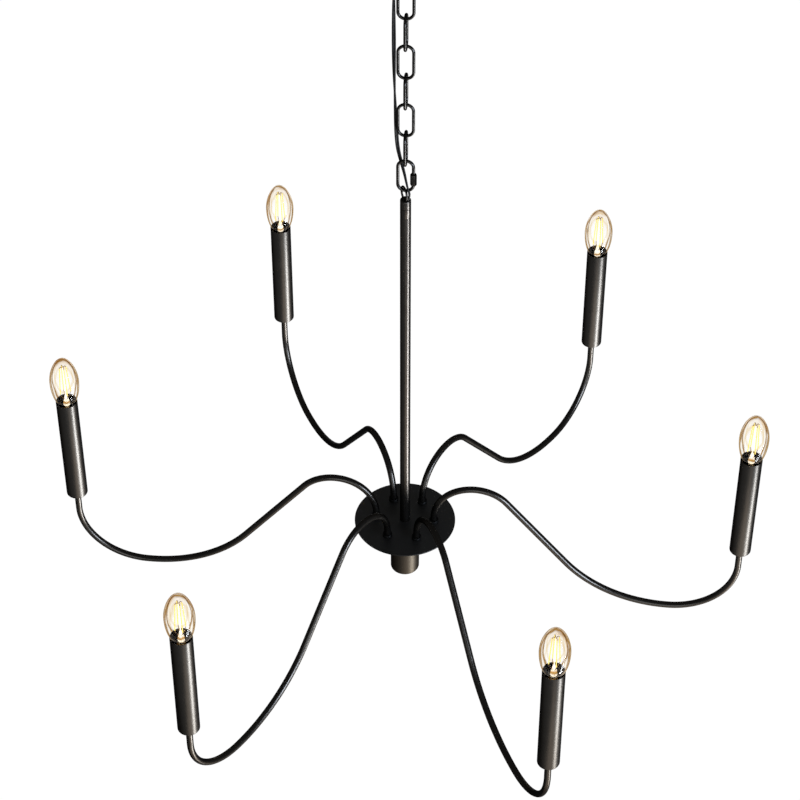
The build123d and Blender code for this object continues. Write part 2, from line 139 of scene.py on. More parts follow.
class Bench:
    """A node tree in the making."""

    def __init__(self, tree):
        self.tree = tree

    def node(self, kind, settings=None, inputs=None, output=0):
        """Add a node: its settings first, then the values or links of its sockets."""
        made = self.tree.nodes.new(kind)
        settings = dict(settings or {})
        stops = settings.pop("stops", None)
        for name, value in settings.items():
            setattr(made, name, value)
        if stops:
            ramp = made.color_ramp
            while len(ramp.elements) < len(stops):
                ramp.elements.new(1.0)
            for element, (position, colour) in zip(ramp.elements, stops):
                element.position = position
                element.color = colour
        for key, value in (inputs or {}).items():
            if isinstance(value, Socket):
                self.tree.links.new(value.plug, made.inputs[key])
            else:
                made.inputs[key].default_value = value
        return Socket(self, made.outputs[output]) if len(made.outputs) else made

    def blend(self, factor, first, second, how="MIX"):
        """Mix of two colours by a value."""
        settings = {"data_type": "RGBA", "blend_type": how}
        return self.node("ShaderNodeMix", settings, {0: factor, 6: first, 7: second}, output=2)

    def noise(self, place, scale, detail):
        """Cloudy value between 0 and 1."""
        return self.node("ShaderNodeTexNoise", None, {"Vector": place, "Scale": scale, "Detail": detail})

    def bump(self, height, strength, depth):
        """Normal that follows a height."""
        return self.node("ShaderNodeBump", None, {"Height": height, "Strength": strength, "Distance": depth})


# %% Opening and closing a finish


def finish_bench(name):
    """A new material, its bench and its object coordinates."""
    material = bpy.data.materials.new(name)
    material.use_nodes = True
    material.node_tree.nodes.clear()
    bench = Bench(material.node_tree)
    return material, bench, bench.node("ShaderNodeTexCoord", output="Object")


def coat(bench, inputs):
    """Close a material with one principled surface."""
    surface = bench.node("ShaderNodeBsdfPrincipled", None, inputs)
    bench.node("ShaderNodeOutputMaterial", None, {"Surface": surface})


# %% [markdown]
# ## Black metal
# Stem, plate, arms and chain are steel under a thin satin black coat. A plain black surface with the usual
# gloss turns white along its edges, because glancing light always reflects. The coat of this lamp stays dark
# there, so it is made as a very dark metal with a dark edge tint. Clouded roughness and a fine grain keep it
# from looking like plastic. Every kind of piece has a tone of its own. The arm collars and the rim and
# underside of the plate have a darker, duller copy of the coat, painted shade that keeps them from glinting.

# %% Satin coats
edge_tint = (0.12, 0.12, 0.12, 1)
cloud_spread = 0.06
fine_grain = 0.006 * MM


def satin_coat(name, tone, second_tone, roughness, grain_depth=fine_grain):
    """Thin satin coat on metal, with clouds in its tone and a fine grain."""
    material, bench, place = finish_bench(name)
    clouds = bench.noise(place, scale=55.0, detail=3.0)
    grain = bench.noise(place, scale=1500.0, detail=2.0)
    coat(bench, {
        "Base Color": bench.blend(clouds, (*tone, 1), (*second_tone, 1)),
        "Metallic": 0.96,
        "Roughness": roughness - cloud_spread / 2 + clouds * cloud_spread,
        "Specular Tint": edge_tint,
        "Normal": bench.bump(grain, strength=0.07, depth=grain_depth),
    })
    return material


black_coat = satin_coat("satin_black_coat", (0.0490, 0.0447, 0.0412), (0.0580, 0.0532, 0.0490), 0.28)
arm_coat = satin_coat("arm_black_coat", (0.049, 0.045, 0.041), (0.057, 0.053, 0.048), 0.27)
plate_coat = satin_coat("plate_black_coat", (0.082, 0.082, 0.082), (0.097, 0.097, 0.096), 0.46, 0.010 * MM)
# Darker, duller copy of the coat for the arm collars and the plate's rim and underside: painted shade, so
# that they don't glint.
painted_shade_coat = satin_coat("collar_dull_coat", (0.018, 0.018, 0.018), (0.026, 0.026, 0.026), 0.5)
sleeve_coat = satin_coat("sleeve_bronze_coat", (0.051, 0.048, 0.044), (0.061, 0.057, 0.053), 0.33)
cup_coat = satin_coat("cup_bronze_coat", (0.041, 0.0355, 0.029), (0.049, 0.0425, 0.035), 0.46)
chain_coat = satin_coat("chain_black_coat", (0.034, 0.0325, 0.031), (0.043, 0.041, 0.039), 0.24, 0.008 * MM)
print("satin coats ready, the first is", black_coat.name)

# %% [markdown]
# ## Plated metal, plastics and cord sheath
# Out of sight the lamp is plainer: zinc-plated nuts and crossbar, a nickel-plated bulb base, moulded sockets
# and PVC wires. They still show through the canopy's open top and the candle mouths, so each has its own
# grain.

# %% Plated metal


def plated(name, tone, stain, roughness):
    """Bright plated metal with faint cloudy stains and fine handling marks."""
    material, bench, place = finish_bench(name)
    clouds = bench.noise(place, scale=120.0, detail=4.0)
    marks = bench.noise(place, scale=900.0, detail=3.0)
    coat(bench, {
        "Base Color": bench.blend(clouds, (*tone, 1), (*stain, 1)),
        "Metallic": 1.0,
        "Roughness": roughness + clouds * 0.12,
        "Normal": bench.bump(marks, strength=0.15, depth=0.04 * MM),
    })
    return material


zinc = plated("zinc_plate", (0.62, 0.61, 0.58), (0.52, 0.50, 0.43), 0.28)
nickel = plated("nickel_shell", (0.72, 0.68, 0.60), (0.60, 0.56, 0.48), 0.18)
copper = plated("copper_wire", (0.30, 0.17, 0.07), (0.20, 0.11, 0.05), 0.35)
print("plated metals:", zinc.name, nickel.name, copper.name)

# %% Plastics


def moulded(name, tone, second_tone, roughness, shine=0.5):
    """Moulded plastic or PVC with a faint mottled tone and a leathery grain."""
    material, bench, place = finish_bench(name)
    mottle = bench.noise(place, scale=90.0, detail=3.0)
    grain = bench.noise(place, scale=700.0, detail=2.0)
    coat(bench, {
        "Base Color": bench.blend(mottle, (*tone, 1), (*second_tone, 1)),
        "Roughness": roughness + grain * 0.1,
        "Specular IOR Level": shine,
        "Normal": bench.bump(grain, strength=0.2, depth=0.02 * MM),
    })
    return material


cord_pvc = moulded("cord_sheath", (0.004, 0.004, 0.0045), (0.007, 0.007, 0.0075), 0.42, shine=0.12)
lead_pvc = moulded("lead_sheath", (0.05, 0.05, 0.05), (0.08, 0.08, 0.08), 0.4)
# The sockets are made near black: painted shade, so that the candle mouths read dark.
socket_plastic = moulded("socket_plastic", (0.022, 0.020, 0.018), (0.034, 0.031, 0.028), 0.42, shine=0.3)
connector_plastic = moulded("connector_plastic", (0.72, 0.36, 0.05), (0.78, 0.42, 0.08), 0.45)
insulator = moulded("base_insulator", (0.012, 0.012, 0.013), (0.03, 0.03, 0.03), 0.3)
print("plastics ready, the cord has", cord_pvc.name)

# %% [markdown]
# ## Bulb finishes
# The bulbs are clear glass with a faint amber tint. Looked at straight through, the thin wall hardly shows,
# but where it is seen at a slant, brown and amber lines run down the flanks and round the outline. They are
# painted reflections; only the amber at the outline is partly the glass's own tint, seen through more glass.
# A volume that absorbs light could draw them, but a colour ramp over the facing angle says where each line
# lies, and noise makes the lines waver. Noise also lays smoky patches on the slanted flanks, painted as they
# follow the facing angle, and a smoky tint in patches that grows towards the crown. A low index of refraction
# keeps the outline from turning grey. The filaments glow, and the glass stem that holds them is a little
# cloudy and has a painted glow, light of its own that stands in for the filaments' light caught in it.

# %% Envelope glass
base_low, base_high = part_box("bulb_base_1")
seat = base_high.z
crown_foot = seat + 49.95 * MM
crown_growth = 30.0
flank_start = 0.36
painted_flank_smoke = 4.0
smoke = (0.72, 0.50, 0.26, 1)
waver = 0.14
# Stops over the facing angle: brown and amber lines that are painted reflections; the amber at the outline is
# partly the glass's own tint.
painted_line_stops = [
    (0.24, (1.0, 1.0, 1.0, 1)),
    (0.29, (0.84, 0.66, 0.36, 1)),
    (0.34, (1.0, 0.99, 0.95, 1)),
    (0.40, (1.0, 0.97, 0.90, 1)),
    (0.455, (0.17, 0.062, 0.004, 1)),
    (0.495, (0.17, 0.062, 0.004, 1)),
    (0.55, (1.0, 0.97, 0.90, 1)),
    (0.69, (0.97, 0.90, 0.72, 1)),
    (0.75, (0.26, 0.10, 0.008, 1)),
    (0.92, (0.42, 0.20, 0.03, 1)),
]


def glass_coat(bench, place, colour):
    """Close a material as thin clear glass with a faint ripple."""
    ripple = bench.noise(place, scale=70.0, detail=1.0)
    coat(bench, {
        "Base Color": colour,
        "Roughness": 0.0,
        "IOR": 1.1,
        "Transmission Weight": 1.0,
        "Normal": bench.bump(ripple, strength=0.06, depth=0.6 * MM),
    })


def amber_glass():
    """Outer side of the blown wall, with brown lines at a slant, which are painted reflections, and smoky
    patches, painted on the flanks.
    """
    material, bench, place = finish_bench("amber_clear_glass")
    drawn = bench.node("ShaderNodeMapping", None, {"Vector": place, "Scale": (1.0, 1.0, 0.35)})
    wave = bench.noise(drawn, scale=130.0, detail=1.0)
    patch = bench.noise(drawn, scale=60.0, detail=1.0)
    edge = bench.node("ShaderNodeLayerWeight", None, {"Blend": 0.5}, output="Facing")
    lines = bench.node("ShaderNodeValToRGB", {"stops": painted_line_stops}, {0: edge + (wave - 0.5) * waver})
    flank = bench.node("ShaderNodeMath", {"operation": "GREATER_THAN"}, {0: edge, 1: flank_start})
    height = bench.node("ShaderNodeSeparateXYZ", None, {0: place}, output="Z")
    crown = (height - crown_foot) * crown_growth
    # Smoky patches: painted on the slanted flanks, where they follow the facing angle, and over the crown a
    # tint that grows towards the top.
    stain = (patch - 0.5) * flank * painted_flank_smoke + crown * patch
    glass_coat(bench, place, bench.blend(stain, lines, smoke, how="MULTIPLY"))
    return material


def clear_glass():
    """Inner side of the blown wall, without the tint."""
    material, bench, place = finish_bench("inner_clear_glass")
    glass_coat(bench, place, (1.0, 1.0, 1.0, 1))
    return material


bulb_glass = amber_glass()
inner_glass = clear_glass()
print("glass:", bulb_glass.name, "and", inner_glass.name)

# %% Stem glass and glow


def glowing_stem_glass():
    """Cloudy pressed glass of the bulb's inner stem, with a painted glow: light of its own that stands in for
    the filaments' light caught in it.
    """
    material, bench, place = finish_bench("pressed_stem_glass")
    haze = bench.noise(place, scale=400.0, detail=2.0)
    coat(bench, {
        "Base Color": bench.blend(haze, (0.95, 0.90, 0.80, 1), (0.86, 0.80, 0.70, 1)),
        "Roughness": 0.15 + haze * 0.1,
        "IOR": 1.5,
        "Transmission Weight": 0.3,
        # Emission here is painted glow: the stem glass is no lamp.
        "Emission Color": bench.blend(haze, (1.0, 0.95, 0.84, 1), (0.9, 0.82, 0.68, 1)),
        "Emission Strength": 0.55,
    })
    return material


def filament_glow():
    """Phosphor on a filament, brighter in the middle of its many small dots."""
    material, bench, place = finish_bench("filament_glow")
    dots = bench.noise(place, scale=900.0, detail=1.0)
    coat(bench, {
        "Base Color": (0.16, 0.09, 0.01, 1),
        "Roughness": 0.5,
        "Emission Color": bench.blend(dots, (1.0, 0.78, 0.12, 1), (1.0, 0.90, 0.26, 1)),
        "Emission Strength": 1.05,
    })
    return material


glowing_mount_glass = glowing_stem_glass()
glow = filament_glow()
print("finishes:", len(bpy.data.materials))

# %% [markdown]
# ## Turning outlines
# Most of this lamp comes off a lathe or a spinning machine: plate, stem, cups, sleeves and bulbs are all
# round. A Screw modifier could turn a profile, but turning it in code keeps the poles closed and the faces
# outward.

# %% Lathe
sharp_angle = radians(32)
on_axis = 1e-7


def add_object(name, mesh, finish):
    """A scene object for a mesh, smooth except at its sharp corners."""
    for face in mesh.polygons:
        face.use_smooth = True
    mesh.set_sharp_from_angle(angle=sharp_angle)
    if finish:
        mesh.materials.append(finish)
    made = bpy.data.objects.new(name, mesh)
    scene.collection.objects.link(made)
    return made


def add_ring(shape, radius, height, sides, centre_x):
    """Corners on a level circle, or a single one on the axis."""
    angles = [tau * step / sides for step in range(sides if radius > on_axis else 1)]
    return [shape.verts.new((centre_x + radius * cos(a), radius * sin(a), height)) for a in angles]


def join_rings(shape, rings, sides):
    """Faces between each ring and the next, three-cornered where a ring is a single point."""
    for low, high in zip(rings, rings[1:]):
        for step in range(sides):
            after = step + 1
            way_round = ((low, step), (low, after), (high, after), (high, step))
            corners = list(dict.fromkeys(ring[at % len(ring)] for ring, at in way_round))
            if len(corners) > 2:
                shape.faces.new(corners)


def mesh_from(shape, name):
    """Mesh of a finished shape, with its faces turned outward."""
    bmesh.ops.recalc_face_normals(shape, faces=shape.faces)
    mesh = bpy.data.meshes.new(name)
    shape.to_mesh(mesh)
    shape.free()
    return mesh


def turn(name, outline, finish, centre_x=0.0, sides=96, closed=True):
    """Turn an outline of (radius, height) places about an upright axis into a mesh."""
    shape = bmesh.new()
    rings = [add_ring(shape, radius, height, sides, centre_x) for radius, height in outline]
    join_rings(shape, rings + rings[:1] if closed else rings, sides)
    return add_object(name, mesh_from(shape, name), finish)


# %% Outlines and hanging


def arc(centre, radius, start, end, steps=8, squash=1.0):
    """Places on a round of an outline, from one angle to another in degrees."""
    places = []
    for step in range(steps + 1):
        angle = radians(start + (end - start) * step / steps)
        places.append((centre[0] + radius * cos(angle), centre[1] + squash * radius * sin(angle)))
    return places


def rounded_tube(outer, inner, low, high, edge):
    """Outline of an upright tube with rounded outer corners."""
    return [
        (inner, low),
        *arc((outer - edge, low + edge), edge, 270, 360),
        *arc((outer - edge, high - edge), edge, 0, 90),
        (inner, high),
    ]


def hang(piece, body, slot, *nodes):
    """Let a finished piece ride on a body and stand for its solids."""
    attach(piece, body)
    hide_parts(*nodes)
    print(piece.name, "on", body, "with", len(piece.data.polygons), "faces")


# %% [markdown]
# ## Power cord
# The lamp's cord leaves the canopy loop, hangs beside the chain and goes through the quick link into the
# stem. It is a flat twin cord, two insulated wires side by side, with a slow twist. A single round tube would
# be quicker, but the pair of wires is what tells it apart from the chain. One smooth NURBS line carries the
# whole route, and both wires follow points read from that line.

# %% Cord route
cord_route = [
    (0, 0, -31),
    (-0.1, 0.2, -39.5),
    (-2.6, 3.2, -48),
    (-7, 5.6, -57.5),
    (-10.5, 5.0, -69),
    (-12.3, 3.2, -88),
    (-12.6, 1.4, -112),
    (-12.5, 0.9, -138),
    (-12.4, 0.6, -165),
    (-12.3, 0.8, -193),
    (-11.8, 1.5, -219),
    (-11.3, 2.6, -241),
    (-10.8, 3.4, -263),
    (-10.2, 4.0, -280.5),
    (-9.0, 4.4, -297),
    (-6.3, 4.6, -311.5),
    (-2.0, 2.2, -327),
    (0.5, -0.6, -337),
    (2.6, -3.0, -345.3),
    (4.7, -3.9, -351.3),
    (4.4, -2.7, -356),
    (2.9, -1.5, -360.5),
    (2.75, -1.4, -365),
]


def smooth_line(name, route):
    """Points of a NURBS line that has the route's places as its control points."""
    curve = bpy.data.curves.new(name, "CURVE")
    curve.dimensions = "3D"
    spline = curve.splines.new("NURBS")
    spline.points.add(len(route) - 1)
    for point, place in zip(spline.points, route):
        point.co = (*(Vector(place) * MM), 1)
    spline.order_u = 3
    spline.use_endpoint_u = True
    holder = bpy.data.objects.new(name, curve)
    scene.collection.objects.link(holder)
    bpy.context.view_layer.update()
    line = bpy.data.meshes.new_from_object(holder)
    places = [vertex.co.copy() for vertex in line.vertices]
    bpy.data.objects.remove(holder)
    bpy.data.meshes.remove(line)
    return places


cord_line = smooth_line("cord_route", cord_route)
cord_steps = [(b - a).length for a, b in zip(cord_line, cord_line[1:])]
print("cord line has", len(cord_line), "points over", round(sum(cord_steps), 4), "m")

# %% Twin cord
wire_radius = 1.15 * MM
wire_offset = 1.05 * MM
twist_length = 260.0 * MM
wire_sides = 10


def carried_frames(line):
    """Tangent and side direction at each point, carried along the line without any spin of their own."""
    frames = []
    side = Vector((1, 0, 0))
    for index in range(len(line)):
        ahead = line[min(index + 1, len(line) - 1)]
        behind = line[max(index - 1, 0)]
        along = (ahead - behind).normalized()
        side = (side - along * side.dot(along)).normalized()
        frames.append((along, side))
    return frames


def twin_cord(name, rings_of_wires, first, last):
    """Closed mesh of both wires between two points of the cord line."""
    shape = bmesh.new()
    for rings in rings_of_wires:
        loops = [[shape.verts.new(place) for place in ring] for ring in rings[first:last + 1]]
        join_rings(shape, loops, wire_sides)
        shape.faces.new(list(reversed(loops[0])))
        shape.faces.new(loops[-1])
    return mesh_from(shape, name)


cord_rings = [[], []]
travelled = 0.0
for index, (along, side) in enumerate(carried_frames(cord_line)):
    across = along.cross(side)
    for wire in range(2):
        twist = tau * travelled / twist_length + wire * pi
        middle = cord_line[index] + (side * cos(twist) + across * sin(twist)) * wire_offset
        ring = []
        for corner in range(wire_sides):
            angle = tau * corner / wire_sides
            ring.append(middle + (side * cos(angle) + across * sin(angle)) * wire_radius)
        cord_rings[wire].append(ring)
    if index < len(cord_steps):
        travelled += cord_steps[index]
print("twin cord makes", round(travelled / twist_length, 1), "turns")

# %% [markdown]
# The chain has many hinges, so the cord is cut in the middle of every link: each piece runs smoothly from one
# link to the next, and neighbours meet on the link they share. Every piece is a free cord of its own real
# length that starts where the one before it ends.

# %% Cord pieces on the chain
chain_links = [f"link_{number}" for number in link_numbers]
chain_bodies = ["ceiling_mount", *chain_links, "quick_link", "chandelier"]
hinge_heights = []
for upper, lower in zip(chain_bodies, chain_bodies[1:]):
    for joint in frame["joints"]:
        if joint["parent"] == upper and joint["child"] == lower:
            hinge_heights.append(joint["pos_m"][2])
cut_heights = [cord_line[0].z]
cut_heights += [(a + b) / 2 for a, b in zip(hinge_heights, hinge_heights[1:])]
cut_heights.append(cord_line[-1].z)
cuts = []
for height in cut_heights:
    cuts.append(min(range(len(cord_line)), key=lambda index: abs(cord_line[index].z - height)))
for number, (first, last) in enumerate(zip(cuts, cuts[1:])):
    piece = add_object(f"cord_{number + 1}", twin_cord("cord", cord_rings, first, last), cord_pvc)
    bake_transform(piece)
    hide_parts("power_cord")
print("cord cut into", len(cuts) - 1, "pieces")

# %% [markdown]
# ## Wires and copies as node trees
# Links, rings and arms are all a round section drawn along a line, and many pieces come six times round the
# stem. Both are rules, so Geometry Nodes make them: one tree draws a wire along a line and turns copies of it
# about the axis, and one turns copies of a finished piece. The result is realized and kept as a plain mesh.

# %% Parts of a tree


def new_tree(name, *inputs):
    """A Geometry Nodes tree with named inputs, and the sockets that carry them."""
    tree = bpy.data.node_groups.new(name, "GeometryNodeTree")
    tree.interface.new_socket("Geometry", in_out="INPUT", socket_type="NodeSocketGeometry")
    for label, kind in inputs:
        tree.interface.new_socket(label, in_out="INPUT", socket_type=kind)
    tree.interface.new_socket("Geometry", in_out="OUTPUT", socket_type="NodeSocketGeometry")
    bench = Bench(tree)
    entry = tree.nodes.new("NodeGroupInput")
    return bench, {plug.name: Socket(bench, plug) for plug in entry.outputs if plug.name}


def round_along(bench, line, radius, sides):
    """A round section drawn along a line, with closed ends."""
    section = bench.node("GeometryNodeCurvePrimitiveCircle", {"mode": "RADIUS"}, {
        "Resolution": sides, "Radius": radius,
    })
    return bench.node("GeometryNodeCurveToMesh", None, {
        "Curve": line, "Profile Curve": section, "Fill Caps": True,
    })


def copies_about_axis(bench, geometry_in, count):
    """Copies of a geometry turned by equal steps about Z."""
    places = bench.node("GeometryNodePoints", None, {"Count": count})
    index = bench.node("GeometryNodeInputIndex")
    turn_by = bench.node("ShaderNodeCombineXYZ", None, {"Z": index * tau / count})
    return bench.node("GeometryNodeInstanceOnPoints", None, {
        "Points": places, "Instance": geometry_in, "Rotation": turn_by,
    })


def close_tree(bench, geometry_in, finish):
    """End a tree in plain geometry with its finish."""
    plain = bench.node("GeometryNodeRealizeInstances", None, {"Geometry": geometry_in})
    done = bench.node("GeometryNodeSetMaterial", None, {"Geometry": plain, "Material": finish})
    bench.node("NodeGroupOutput", None, {"Geometry": done})
    return bench.tree


# %% Wire tree and copies tree


def wire_tree():
    """Tree that draws a wire along the edges of a mesh and turns copies of it."""
    bench, given = new_tree(
        "wire_along_line",
        ("Wire Radius", "NodeSocketFloat"),
        ("Sides", "NodeSocketInt"),
        ("Copies", "NodeSocketInt"),
        ("Finish", "NodeSocketMaterial"),
    )
    line = bench.node("GeometryNodeMeshToCurve", None, {"Mesh": given["Geometry"]})
    wire = round_along(bench, line, given["Wire Radius"], given["Sides"])
    return close_tree(bench, copies_about_axis(bench, wire, given["Copies"]), given["Finish"])


def copies_tree():
    """Tree that turns copies of a finished piece."""
    bench, given = new_tree(
        "copies_about_stem",
        ("Copies", "NodeSocketInt"),
        ("Finish", "NodeSocketMaterial"),
    )
    copies = copies_about_axis(bench, given["Geometry"], given["Copies"])
    return close_tree(bench, copies, given["Finish"])


draw_wire = wire_tree()
turn_copies = copies_tree()
print("trees:", draw_wire.name, "and", turn_copies.name)

# %% Growing a piece


def grow(name, tree, source, **inputs):
    """Run a tree on a source object and keep the result as a plain mesh object in its place."""
    modifier = source.modifiers.new(tree.name, "NODES")
    modifier.node_group = tree
    for item in tree.interface.items_tree:
        key = item.name.replace(" ", "_").lower()
        if item.in_out == "INPUT" and key in inputs:
            modifier[item.identifier] = inputs[key]
    ready = source.evaluated_get(bpy.context.evaluated_depsgraph_get())
    mesh = bpy.data.meshes.new_from_object(ready)
    source.modifiers.remove(modifier)
    bpy.data.objects.remove(source)
    return add_object(name, mesh, None)


def line_object(places, closed=False):
    """An object whose edges join the places in order."""
    edges = [(index, index + 1) for index in range(len(places) - 1)]
    if closed:
        edges.append((len(places) - 1, 0))
    mesh = bpy.data.meshes.new("line")
    mesh.from_pydata([tuple(place) for place in places], edges, [])
    made = bpy.data.objects.new("line", mesh)
    scene.collection.objects.link(made)
    return made


def round_wire(name, places, radius, sides, finish, copies=1, closed=False):
    """A wire along places, as often as asked about the stem."""
    source = line_object(places, closed)
    return grow(name, draw_wire, source, wire_radius=radius, sides=sides, copies=copies, finish=finish)


def one_per_arm(name, pattern, finish):
    """Copies of a piece of the first arm for all arms, in one object."""
    return grow(name, turn_copies, pattern, copies=len(arm_numbers), finish=finish)


# %% [markdown]
# ## Chain links
# Each link is a length of wire bent into an oval with two straight sides, and closed by a butt joint in the
# middle of one side. Links stand a quarter turn from their neighbours. The oval's size is read from the solid
# it stands for, so it can't drift from the frame.

# %% Oval wires


def oval(half_width, top, bottom, gap=0.0, steps=20):
    """Places on an upright oval in the XZ plane, from the middle of its right side up and round."""
    middle = (top + bottom) / 2
    high = top - half_width
    low = bottom + half_width
    places = [(half_width, middle + gap / 2)]
    places += arc((0, high), half_width, 0, 180, steps)
    places += arc((0, low), half_width, 180, 360, steps)
    places.append((half_width, middle - gap / 2))
    return places


def upright(places, angle, offset_x=0.0):
    """Flat (across, height) places set up in a vertical plane at an angle about Z."""
    return [(offset_x + x * cos(angle), x * sin(angle), z) for x, z in places]


def wire_of(node):
    """Wire radius, half width of the centre line, top and bottom of a flat wire link, from its solid."""
    low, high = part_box(node)
    spans = sorted([high.x - low.x, high.y - low.y])
    radius = spans[0] / 2
    return radius, spans[1] / 2 - radius, high.z - radius, low.z + radius


# %% Chain
joint_gap = 0.25 * MM
for number in link_numbers:
    node = f"chain_link_{number}"
    radius, half_width, top, bottom = wire_of(node)
    bend = oval(half_width, top, bottom, joint_gap)
    facing = radians(90 if number % 2 else 0)
    link = round_wire(f"link_wire_{number}", upright(bend, facing), radius, 20, chain_coat)
    hang(link, f"link_{number}", "chain_metal", node)

# %% [markdown]
# ## Quick link
# The last link can be opened: its side has a mouth, and a long hexagonal nut on the threaded wire above runs
# down over it. The wire is the same oval with a piece left out, and the nut is a ring of corners that follows
# the six flats and is cut round at both ends.

# %% Quick link wire
quick_radius, quick_half, quick_top, quick_bottom = wire_of("quick_link")
mouth_lift = 1.5 * MM
mouth_height = 8.0 * MM
mouth_low = quick_bottom + quick_half + mouth_lift
mouth_high = mouth_low + mouth_height
quick_bend = oval(quick_half, quick_top, quick_bottom)[1:-1]
quick_bend = [(quick_half, mouth_high), *quick_bend, (quick_half, mouth_low)]
quick_wire = round_wire("quick_link_wire", upright(quick_bend, 0), quick_radius, 24, chain_coat)
hang(quick_wire, "quick_link", "chain_metal", "quick_link")

# %% Quick link nut


def hex_sleeve(name, flats, bore, low, high, chamfer, centre_x, finish):
    """Hexagonal nut with turned-down ends and a round bore."""
    sides = 60
    half = flats / 2
    shape = bmesh.new()
    rings = []
    for height, limit in ((low, half), (low + chamfer, flats), (high - chamfer, flats), (high, half)):
        ring = []
        for step in range(sides):
            angle = tau * step / sides
            flat_angle = angle % (pi / 3) - pi / 6
            radius = min(half / cos(flat_angle), limit)
            ring.append(shape.verts.new((centre_x + radius * cos(angle), radius * sin(angle), height)))
        rings.append(ring)
    rings += [add_ring(shape, bore, height, sides, centre_x) for height in (high, low)]
    join_rings(shape, rings + rings[:1], sides)
    return add_object(name, mesh_from(shape, name), finish)


nut_low, nut_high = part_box("quick_link_nut")
nut_play = 0.1 * MM
nut_chamfer = 0.6 * MM
quick_nut = hex_sleeve(
    "quick_link_hex_nut", nut_high.y - nut_low.y, quick_radius + nut_play,
    nut_low.z, nut_high.z, nut_chamfer, quick_half, chain_coat,
)
hang(quick_nut, "quick_link_nut", "chain_metal", "quick_link_nut")

# %% [markdown]
# ## Hub
# All six arms stand in a flat round plate on the foot of the stem. A shallow pan under it hides the wires,
# and a long bronze cup closes the bottom. All are turned outlines whose sizes come from the solids. The
# plate's level top has the plate coat, and its rim and underside have the darker, duller one: painted shade,
# so that they don't glint.

# %% Plate
level_enough = 0.9
plate_edge = 0.5 * MM


def round_size(node):
    """Radius, bottom and top of a round piece on the stem's axis."""
    low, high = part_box(node)
    return high.x, low.z, high.z


plate_radius, plate_bottom, plate_top = round_size("hub_plate")
nipple_radius = round_size("centre_nipple")[0]
plate = turn(
    "hub_disc",
    rounded_tube(plate_radius, nipple_radius, plate_bottom, plate_top, plate_edge),
    plate_coat, sides=160,
)
# The rim and underside take the darker copy of the coat, which is painted shade; the level top keeps the
# plate coat.
plate.data.materials.append(painted_shade_coat)
for face in plate.data.polygons:
    face.material_index = 0 if face.normal.z > level_enough else 1
hang(plate, "chandelier", "black_metal", "hub_plate")

# %% Pan and cup
pan_radius, pan_bottom, pan_top = round_size("wiring_pan")
pan_edge = 6.0 * MM
pan_wall = 1.2 * MM
pan = turn("wiring_pan_shell", [
    (nipple_radius, pan_bottom),
    *arc((pan_radius - pan_edge, pan_bottom + pan_edge), pan_edge, 270, 360),
    (pan_radius, pan_top),
    (pan_radius - pan_wall, pan_top),
    *arc((pan_radius - pan_edge, pan_bottom + pan_edge), pan_edge - pan_wall, 360, 270),
    (nipple_radius, pan_bottom + pan_wall),
], black_coat, sides=128)
hang(pan, "chandelier", "black_metal", "wiring_pan")

cup_radius, cup_bottom, cup_top = round_size("bottom_cup")
cup_edge = 3.0 * MM
cup_wall = 1.5 * MM
cup = turn("bottom_cup_shell", [
    (0, cup_bottom),
    *arc((cup_radius - cup_edge, cup_bottom + cup_edge), cup_edge, 270, 360),
    *arc((cup_radius - cup_wall / 2, cup_top - cup_wall / 2), cup_wall / 2, 0, 180),
    *arc((cup_radius - cup_edge, cup_bottom + cup_edge), cup_edge - cup_wall, 360, 270),
    (0, cup_bottom + cup_wall),
], cup_coat)
hang(cup, "chandelier", "sleeve_metal", "bottom_cup")

# %% [markdown]
# ## Stem and its eye
# A plain tube rises from the plate. Its cap is a turned plug with a fine groove, and a thin wire eye stands
# in it for the quick link. The cord goes in beside the eye, so the cap has a real hole, cut with a Boolean.

# %% Stem
stem_radius, stem_foot, stem_top = round_size("stem_tube")
bore_radius = stem_radius - 1.2 * MM
seam = 0.3 * MM
stem = turn("stem_pipe", rounded_tube(stem_radius, bore_radius, stem_foot, stem_top, seam), black_coat)
hang(stem, "chandelier", "black_metal", "stem_tube")

# %% Cap
cap_top = stem_top + 23.4 * MM
cap_edge = 1.6 * MM
groove_top = cap_top - 11.0 * MM
groove_width = 0.8 * MM
groove_depth = 0.35 * MM
plug_radius = bore_radius - 0.1 * MM
plug_bottom = stem_top - 14.0 * MM
cord_hole = Vector((2.75, -1.4, 0)) * MM
cord_hole_radius = 2.0 * MM
cord_hole_depth = 8.0 * MM
cap = turn("stem_cap", [
    (0, plug_bottom),
    (plug_radius, plug_bottom),
    (plug_radius, stem_top),
    *arc((stem_radius - seam, stem_top + seam), seam, 270, 360, 4),
    (stem_radius, groove_top - groove_width),
    (stem_radius - groove_depth, groove_top - groove_width * 0.75),
    (stem_radius - groove_depth, groove_top - groove_width * 0.25),
    (stem_radius, groove_top),
    *arc((stem_radius - cap_edge, cap_top - cap_edge), cap_edge, 0, 90),
    (0, cap_top),
], black_coat, closed=False)
drill = turn("drill", [
    (0, cap_top - cord_hole_depth),
    (cord_hole_radius, cap_top - cord_hole_depth),
    (cord_hole_radius, cap_top + cord_hole_depth),
    (0, cap_top + cord_hole_depth),
], black_coat, sides=32, closed=False)
drill.data.transform(Matrix.Translation(cord_hole))
bore = cap.modifiers.new("cord_hole", "BOOLEAN")
bore.operation = "DIFFERENCE"
bore.solver = "EXACT"
bore.object = drill
drilled = bpy.data.meshes.new_from_object(cap.evaluated_get(bpy.context.evaluated_depsgraph_get()))
bpy.data.objects.remove(cap)
bpy.data.objects.remove(drill)
cap = add_object("stem_cap", drilled, None)
hang(cap, "chandelier", "black_metal", "stem_loop")

